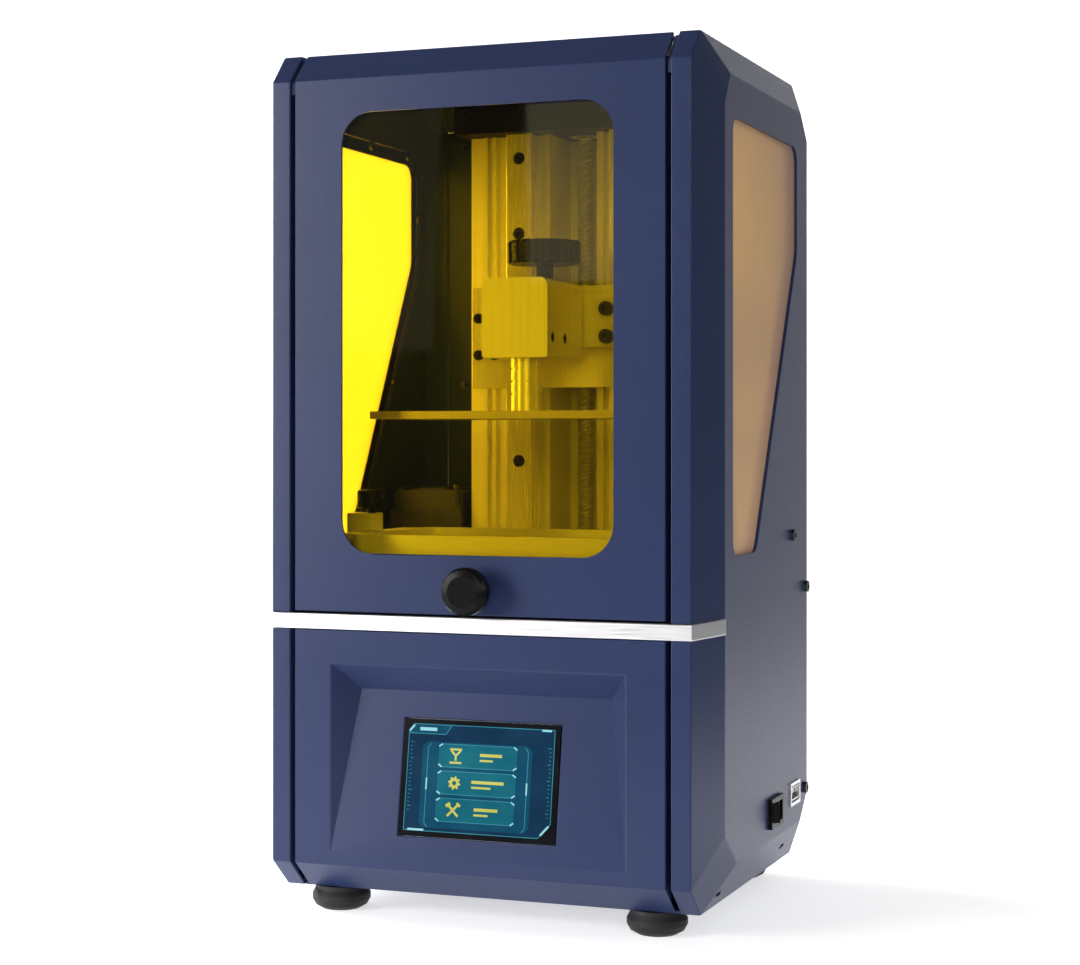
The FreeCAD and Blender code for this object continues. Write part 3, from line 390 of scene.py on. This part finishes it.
def black_paint(name, shine=0.25, shade=0.007):
    finish = Finish(name)
    finish.colour(finish.noise(0.03), (shade * 0.7, shade * 0.7, shade * 0.85),
                  (shade * 1.3, shade * 1.3, shade * 1.4))
    finish.roughness(finish.noise(0.0015), 0.42, 0.58)
    finish.bump(finish.noise(0.0008, 3), 0.00004)
    finish.set(Specular_IOR_Level=shine)
    return finish.material


def black_rubber():
    finish = Finish("black_rubber")
    finish.colour(finish.noise(0.008, 4), (0.009, 0.009, 0.010), (0.016, 0.016, 0.017))
    finish.roughness(finish.noise(0.002, 3), 0.50, 0.70)
    finish.bump(finish.noise(0.0007, 3), 0.00005)
    finish.set(Specular_IOR_Level=0.28)
    return finish.material


def black_plastic():
    finish = Finish("black_plastic")
    finish.colour(finish.noise(0.01), (0.0030, 0.0030, 0.0034), (0.0055, 0.0055, 0.0060))
    finish.roughness(finish.noise(0.0015), 0.24, 0.34)
    finish.bump(finish.noise(0.0006, 3), 0.00002)
    finish.set(Specular_IOR_Level=0.10)
    return finish.material


def metal(name, low, high, rough, grain=(1, 1, 1), size=0.0008, metallic=1.0, depth=0.000004):
    """Bare or anodised metal. The grain is long where its stretch is small."""
    finish = Finish(name)
    lines = finish.noise(size, 3, grain)
    finish.colour(lines, low, high)
    finish.roughness(lines, *rough)
    finish.bump(lines, depth)
    finish.set(Metallic=metallic)
    return finish.material


def plastic(name, low, high, rough, size=0.004, depth=0.00002):
    finish = Finish(name)
    finish.colour(finish.noise(size), low, high)
    finish.roughness(finish.noise(0.0015), *rough)
    finish.bump(finish.noise(0.0008, 3), depth)
    return finish.material


def clear_sheet(name, tint_low, tint_high, ior=1.49):
    """A tinted clear sheet: it lets light through straight, and mirrors a little."""
    finish = Finish(name)
    tint = finish.blended(finish.noise(0.08), tint_low, tint_high)
    nodes, links = finish.nodes, finish.links
    see = nodes.new("ShaderNodeBsdfTransparent")
    links.new(tint, see.inputs["Color"])
    gloss = nodes.new("ShaderNodeBsdfGlossy")
    gloss.inputs["Roughness"].default_value = 0.03
    fresnel = nodes.new("ShaderNodeFresnel")
    fresnel.inputs["IOR"].default_value = ior
    mix = nodes.new("ShaderNodeMixShader")
    links.new(fresnel.outputs["Fac"], mix.inputs["Fac"])
    links.new(see.outputs["BSDF"], mix.inputs[1])
    links.new(gloss.outputs["BSDF"], mix.inputs[2])
    links.new(mix.outputs["Shader"], nodes["Material Output"].inputs["Surface"])
    nodes.remove(finish.shader)
    return finish.material


def frosted_film():
    """The tan film on the outside of a side window: matt from outside, glowing from inside."""
    finish = Finish("frosted_film")
    nodes, links = finish.nodes, finish.links
    cloud = finish.noise(0.07, 3)
    finish.colour(cloud, (0.90, 0.550, 0.480), (0.95, 0.58, 0.51))
    finish.roughness(finish.noise(0.004), 0.30, 0.42)
    glow = nodes.new("ShaderNodeBsdfTranslucent")
    links.new(finish.blended(cloud, (0.98, 0.84, 0.36), (1.0, 0.86, 0.40)), glow.inputs["Color"])
    see = nodes.new("ShaderNodeBsdfTransparent")
    links.new(finish.blended(cloud, (0.98, 0.84, 0.36), (1.0, 0.86, 0.40)), see.inputs["Color"])
    film = nodes.new("ShaderNodeMixShader")
    film.inputs["Fac"].default_value = 0.45
    links.new(finish.shader.outputs["BSDF"], film.inputs[1])
    links.new(glow.outputs["BSDF"], film.inputs[2])
    sheet = nodes.new("ShaderNodeMixShader")
    sheet.inputs["Fac"].default_value = 0.25
    links.new(film.outputs["Shader"], sheet.inputs[1])
    links.new(see.outputs["BSDF"], sheet.inputs[2])
    links.new(sheet.outputs["Shader"], nodes["Material Output"].inputs["Surface"])
    return finish.material


def circuit_board():
    finish = Finish("board_green")
    tracks = finish.cells(0.0035)
    finish.colour(tracks, (0.010, 0.075, 0.030), (0.020, 0.130, 0.055), 0.25, 0.40)
    finish.roughness(finish.noise(0.002), 0.30, 0.45)
    finish.bump(tracks, 0.00004)
    return finish.material


def make_finishes():
    return {
        "case_paint": case_paint(),
        "silver_trim": silver_trim(),
        "frame_black": black_paint("frame_black", 0.10, 0.004),
        "black_rubber": black_rubber(),
        "black_steel": metal("black_steel", (0.05, 0.05, 0.05), (0.09, 0.09, 0.09), (0.30, 0.42)),
        "amber_window": clear_sheet("amber_window", (1.0, 0.895, 0.27), (1.0, 0.915, 0.31)),
        "black_plastic": black_plastic(),
        "hinge_steel": metal("hinge_steel", (0.42, 0.42, 0.43), (0.52, 0.52, 0.53), (0.30, 0.42),
                             (0.05, 1, 1)),
        "anodised_aluminium": metal("anodised_aluminium", (0.84, 0.80, 0.75), (0.93, 0.89, 0.84),
                                    (0.36, 0.48), (1, 1, 0.01), 0.0012, metallic=0.22),
        "rail_steel": metal("rail_steel", (0.88, 0.83, 0.77), (0.98, 0.93, 0.87), (0.22, 0.30),
                            (1, 1, 0.03), 0.0006, metallic=0.25),
        "screw_steel": metal("screw_steel", (0.66, 0.66, 0.67), (0.74, 0.74, 0.74), (0.26, 0.36),
                             metallic=0.6),
        "nut_brass": metal("nut_brass", (0.55, 0.38, 0.13), (0.66, 0.47, 0.18), (0.26, 0.38)),
        "motor_black": black_paint("motor_black"),
        "sensor_plastic": plastic("sensor_plastic", (0.02, 0.02, 0.02), (0.03, 0.03, 0.03),
                                  (0.4, 0.5)),
        "plate_aluminium": metal("plate_aluminium", (0.46, 0.41, 0.39), (0.56, 0.50, 0.47),
                                 (0.36, 0.50), (0.04, 1, 1), 0.0003, metallic=0.5),
        "vat_aluminium": metal("vat_aluminium", (0.82, 0.79, 0.75), (0.92, 0.89, 0.85),
                               (0.36, 0.46), (0.04, 1, 1), 0.0003, metallic=0.25),
        "clear_film": clear_sheet("clear_film", (0.90, 0.91, 0.92), (0.94, 0.95, 0.95), 1.38),
        "deck_black": black_paint("deck_black", 0.15, 0.005),
        "lcd_glass": plastic("lcd_glass", (0.006, 0.007, 0.009), (0.010, 0.011, 0.014),
                             (0.05, 0.09), 0.02, 0.0),
        "lens_clear": clear_sheet("lens_clear", (0.86, 0.90, 0.92), (0.92, 0.95, 0.96)),
        "board_green": circuit_board(),
        "fan_plastic": plastic("fan_plastic", (0.012, 0.012, 0.013), (0.020, 0.020, 0.021),
                               (0.35, 0.48)),
        "filter_plastic": plastic("filter_plastic", (0.016, 0.016, 0.017), (0.024, 0.024, 0.025),
                                  (0.5, 0.6)),
        "screen_glass": plastic("screen_glass", (0.004, 0.005, 0.006), (0.007, 0.008, 0.010),
                                (0.05, 0.08), 0.02, 0.0),
        "module_steel": metal("module_steel", (0.50, 0.50, 0.50), (0.62, 0.62, 0.62),
                              (0.30, 0.42)),
        "socket_metal": metal("socket_metal", (0.72, 0.72, 0.73), (0.84, 0.84, 0.84),
                              (0.24, 0.36)),
    }


def paint_nodes():
    finishes = make_finishes()
    for name, item in NODES.items():
        item.data.materials[0] = finishes[SLOT_OF[name]]


# ---- case ----
def make_case():
    # Inside faces of the panels get near black: painted shade that keeps the closed case dark
    # inside.
    inside = black_paint("inside_painted_shade", 0.03, 0.0012)
    # Rounded edges that look to the right get a lighter coat: a painted highlight.
    edge = painted_edge_highlight()
    for node in ("left_side_panel", "right_side_panel", "top_cover", "rear_cover"):
        softened(node, 0.6 * MM, 2.0 * MM, inside, edge, 5.0)
    for node in ("door_panel", "lower_front_panel", "base_plate"):
        softened(node, 0.6 * MM, 2.0 * MM, None, edge)
    softened("silver_trim_band", 0.5 * MM)
    softened("platform_head", 1.0 * MM, 3.0 * MM)
    for node in ("build_plate", "vat_body", "vat_clamps", "carriage_plate",
                 "lifting_arm", "top_bracket", "rail_carriages"):
        softened(node, 0.4 * MM, 3.0 * MM)
    film = frosted_film()
    for node in ("left_window", "right_window"):
        window = softened(node, 0.3 * MM)
        window.data.materials.append(film)
        outwards = 1 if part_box(node)[0].x > 0 else -1
        for face in window.data.polygons:
            if face.normal.x * outwards > 0.9:
                face.material_index = 1


# ---- screen ----
class Screen:
    """Draws on the touch screen. A point is (across, down), each from 0 to 1, from its top left."""

    def __init__(self):
        mesh = NODES["touch_screen"].data
        front = min(mesh.polygons, key=lambda face: face.normal.y - face.area)
        corners = []
        for vertex in mesh.vertices:
            if abs((vertex.co - front.center).dot(front.normal)) < 1e-5:
                corners.append(vertex.co.copy())
        self.out = front.normal.copy()
        self.left = min(c.x for c in corners)
        self.right = max(c.x for c in corners)
        self.top = max(corners, key=lambda c: c.z)
        self.foot = min(corners, key=lambda c: c.z)

    def point(self, across, down, level):
        """The place in the frame of a point that stands level steps of 0.02 mm off the glass."""
        x = self.left + (self.right - self.left) * across
        y = self.top.y + (self.foot.y - self.top.y) * down
        z = self.top.z + (self.foot.z - self.top.z) * down
        return Vector((x, y, z)) + self.out * (0.02 * MM * level)

    def polygon(self, mesh, points, level):
        corners = [mesh.verts.new(self.point(u, v, level)) for u, v in points]
        face = mesh.faces.new(corners)
        face.normal_update()
        if face.normal.dot(self.out) < 0:
            face.normal_flip()

    def bar(self, mesh, start, end, width, level):
        """A straight line of a width given as a share of the screen's width."""
        aspect = (self.right - self.left) / (self.top - self.foot).length
        dx = end[0] - start[0]
        dy = (end[1] - start[1]) / aspect
        size = math.hypot(dx, dy)
        nx = -dy / size * width / 2
        ny = dx / size * width / 2 * aspect
        self.polygon(mesh, [(start[0] + nx, start[1] + ny), (end[0] + nx, end[1] + ny),
                            (end[0] - nx, end[1] - ny), (start[0] - nx, start[1] - ny)], level)

    def outline(self, mesh, points, width, level):
        for start, end in zip(points, points[1:] + points[:1]):
            self.bar(mesh, start, end, width, level)

    def finish(self, name, mesh, material):
        piece = new_object(name, mesh)
        piece.data.materials.append(material)
        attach(piece, NODES["touch_screen"]["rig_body"])


def lit(name, low, high):
    """Part of the lit picture under the screen's glass, made of fine rows of dots."""
    finish = Finish(name)
    cloud = finish.noise(0.02)
    rows = finish.noise(0.0004, 1, (0.01, 1, 1))
    colour = finish.blended(cloud, low, high)
    dark = finish.nodes.new("ShaderNodeMix")
    dark.data_type = "RGBA"
    dark.blend_type = "MULTIPLY"
    dark.inputs["Factor"].default_value = 0.35
    finish.links.new(colour, dark.inputs["A"])
    finish.links.new(finish.blended(rows, (0.7, 0.7, 0.7), (1, 1, 1)), dark.inputs["B"])
    finish.links.new(dark.outputs["Result"], finish.shader.inputs["Emission Color"])
    finish.colour(cloud, (0.004, 0.005, 0.006), (0.006, 0.008, 0.009))
    finish.roughness(finish.noise(0.01), 0.10, 0.16)
    finish.set(Emission_Strength=1.0, Specular_IOR_Level=0.08)
    return finish.material


def gear(centre, radius, teeth, aspect):
    points = []
    for number in range(teeth * 4):
        reach = radius if number % 4 in (0, 1) else radius * 0.74
        angle = 2 * math.pi * (number + 0.5) / (teeth * 4)
        points.append((centre[0] + reach * math.cos(angle),
                       centre[1] + reach * math.sin(angle) * aspect))
    return points


def make_screen():
    """A lit picture: a frame, three buttons with an icon and two bars each, scales and accents."""
    screen = Screen()
    aspect = (screen.right - screen.left) / (screen.top - screen.foot).length
    picture = bmesh.new()
    frame_shape = [(0.07, 0.045), (0.965, 0.045), (0.965, 0.83), (0.89, 0.95),
                   (0.035, 0.95), (0.035, 0.10)]
    screen.polygon(picture, frame_shape, 1)
    tab = [(0.065, 0.045), (0.31, 0.045), (0.275, 0.125), (0.04, 0.125)]
    centre = bmesh.new()
    screen.polygon(centre, [(0.16, 0.19), (0.80, 0.19), (0.83, 0.23), (0.83, 0.88), (0.80, 0.92),
                            (0.16, 0.92), (0.13, 0.88), (0.13, 0.23)], 2)
    screen.polygon(centre, tab, 2)
    buttons = bmesh.new()
    lines = bmesh.new()
    bright = bmesh.new()
    screen.outline(lines, frame_shape, 0.005, 3)
    screen.outline(lines, tab, 0.005, 4)
    tops = (0.205, 0.435, 0.665)
    low, high = 0.235, 0.735
    height = 0.195
    cut = 0.022
    for top in tops:
        foot = top + height
        screen.polygon(buttons, [(low + cut, top), (high - cut, top), (high, top + cut),
                                 (high, foot - cut), (high - cut, foot), (low + cut, foot),
                                 (low, foot - cut), (low, top + cut)], 3)
        screen.bar(lines, (low + cut, top), (high - cut, top), 0.005, 4)
        screen.bar(lines, (low + cut, foot), (high - cut, foot), 0.005, 4)
        for x in (low, high):
            inward = cut if x == low else -cut
            for y, lean in ((top, cut), (foot, -cut)):
                screen.bar(bright, (x, y + lean), (x + inward, y), 0.009, 5)
    for x, lean in ((0.165, 0.02), (0.805, -0.02)):
        screen.bar(lines, (x, 0.24), (x, 0.88), 0.005, 4)
        screen.bar(lines, (x, 0.24), (x + lean, 0.205), 0.005, 4)
        screen.bar(lines, (x, 0.88), (x + lean, 0.915), 0.005, 4)
        screen.bar(bright, (x, 0.50), (x, 0.60), 0.009, 5)
    for row in range(18):
        y = 0.20 + 0.034 * row
        reach = 0.022 if row % 4 == 0 else 0.012
        screen.bar(lines, (0.05, y), (0.05 + reach, y), 0.004, 4)
        screen.bar(lines, (0.95, y), (0.95 - reach, y), 0.004, 4)
    screen.bar(bright, (0.06, 0.942), (0.165, 0.942), 0.012, 5)
    screen.bar(bright, (0.885, 0.052), (0.945, 0.052), 0.012, 5)
    screen.bar(bright, (0.905, 0.925), (0.955, 0.845), 0.012, 5)
    screen.bar(bright, (0.038, 0.105), (0.068, 0.055), 0.012, 5)
    screen.bar(bright, (0.105, 0.086), (0.215, 0.086), 0.020, 5)

    icons = bmesh.new()
    x = 0.345
    y = tops[0] + height / 2
    screen.bar(icons, (x - 0.038, y - 0.055), (x + 0.038, y - 0.055), 0.012, 5)
    screen.bar(icons, (x - 0.030, y - 0.045), (x, y), 0.012, 5)
    screen.bar(icons, (x + 0.030, y - 0.045), (x, y), 0.012, 5)
    screen.bar(icons, (x, y), (x, y + 0.040), 0.012, 5)
    screen.bar(icons, (x - 0.038, y + 0.058), (x + 0.038, y + 0.058), 0.012, 5)
    y = tops[1] + height / 2
    screen.polygon(icons, gear((x, y), 0.040, 8, aspect), 5)
    hub = [(x + 0.013 * math.cos(a * math.pi / 6), y + 0.013 * math.sin(a * math.pi / 6) * aspect)
           for a in range(12)]
    screen.polygon(buttons, hub, 6)
    y = tops[2] + height / 2
    screen.bar(icons, (x - 0.034, y - 0.050), (x + 0.034, y + 0.050), 0.014, 5)
    screen.bar(icons, (x + 0.034, y - 0.050), (x - 0.034, y + 0.050), 0.014, 6)
    screen.bar(icons, (x - 0.044, y - 0.032), (x - 0.018, y - 0.058), 0.020, 7)
    screen.bar(icons, (x + 0.024, y - 0.062), (x + 0.046, y - 0.034), 0.016, 7)
    for top, start, end in zip(tops, (0.50, 0.455, 0.48), (0.64, 0.66, 0.63)):
        y = top + height / 2
        screen.bar(icons, (start, y - 0.016), (end, y - 0.016), 0.018, 5)
        screen.bar(icons, (start, y + 0.030), (start + (end - start) * 0.6, y + 0.030), 0.012, 5)

    layers = [
        ("screen_picture", picture, (0.001, 0.027, 0.070), (0.002, 0.036, 0.090)),
        ("screen_centre", centre, (0.001, 0.060, 0.125), (0.002, 0.084, 0.155)),
        ("screen_buttons", buttons, (0.003, 0.125, 0.180), (0.006, 0.165, 0.220)),
        ("screen_lines", lines, (0.03, 0.24, 0.32), (0.05, 0.30, 0.40)),
        ("screen_accents", bright, (0.30, 0.72, 0.80), (0.42, 0.82, 0.88)),
        ("screen_icons", icons, (0.62, 0.60, 0.10), (0.72, 0.70, 0.16)),
    ]
    for name, mesh, low, high in layers:
        screen.finish(name, mesh, lit(name, low, high))


# ---- lead screw ----
def make_lead_screw():
    """Four-start trapezoidal thread between plain journals."""
    low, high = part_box("lead_screw")
    centre = (low + high) / 2
    crest = (high.x - low.x) / 2
    root = crest - 0.9 * MM
    journal = 2.5 * MM           # thinner than the bore of the bearing
    lead = 8.0 * MM
    starts = 4
    pitch = lead / starts
    bottom = low.z + 23 * MM
    top = high.z - 14.4 * MM
    around = 32
    rows_per_pitch = 8
    rows = int((top - bottom) / pitch * rows_per_pitch)
    mesh = bmesh.new()

    def profile(phase):
        """Height of the thread over one pitch, from 0 at the root to 1 at the crest."""
        wave = abs(phase - 0.5) * 2
        return min(1.0, max(0.0, (wave - 0.28) / 0.44))

    rings = []
    levels = [(low.z, journal, False), (bottom, journal, False)]
    for row in range(rows + 1):
        levels.append((bottom + (top - bottom) * row / rows, None, True))
    levels += [(top, journal, False), (high.z, journal, False)]
    for z, radius, threaded in levels:
        ring = []
        for number in range(around):
            turn = number / around
            r = radius
            if threaded:
                r = root + (crest - root) * profile((z / pitch - turn * starts) % 1.0)
            angle = 2 * math.pi * turn
            x = centre.x + r * math.cos(angle)
            y = centre.y + r * math.sin(angle)
            ring.append(mesh.verts.new((x, y, z)))
        rings.append(ring)
    for below, above in zip(rings, rings[1:]):
        for number in range(around):
            after = (number + 1) % around
            face = mesh.faces.new((below[number], below[after], above[after], above[number]))
            face.smooth = True
    mesh.faces.new(list(reversed(rings[0])))
    mesh.faces.new(rings[-1])
    stands_for(new_object("lead_screw_thread", mesh), "lead_screw")


paint_nodes()
make_camera()
make_lights()
make_world()
make_floor()
make_case()
make_lead_screw()
make_screen()
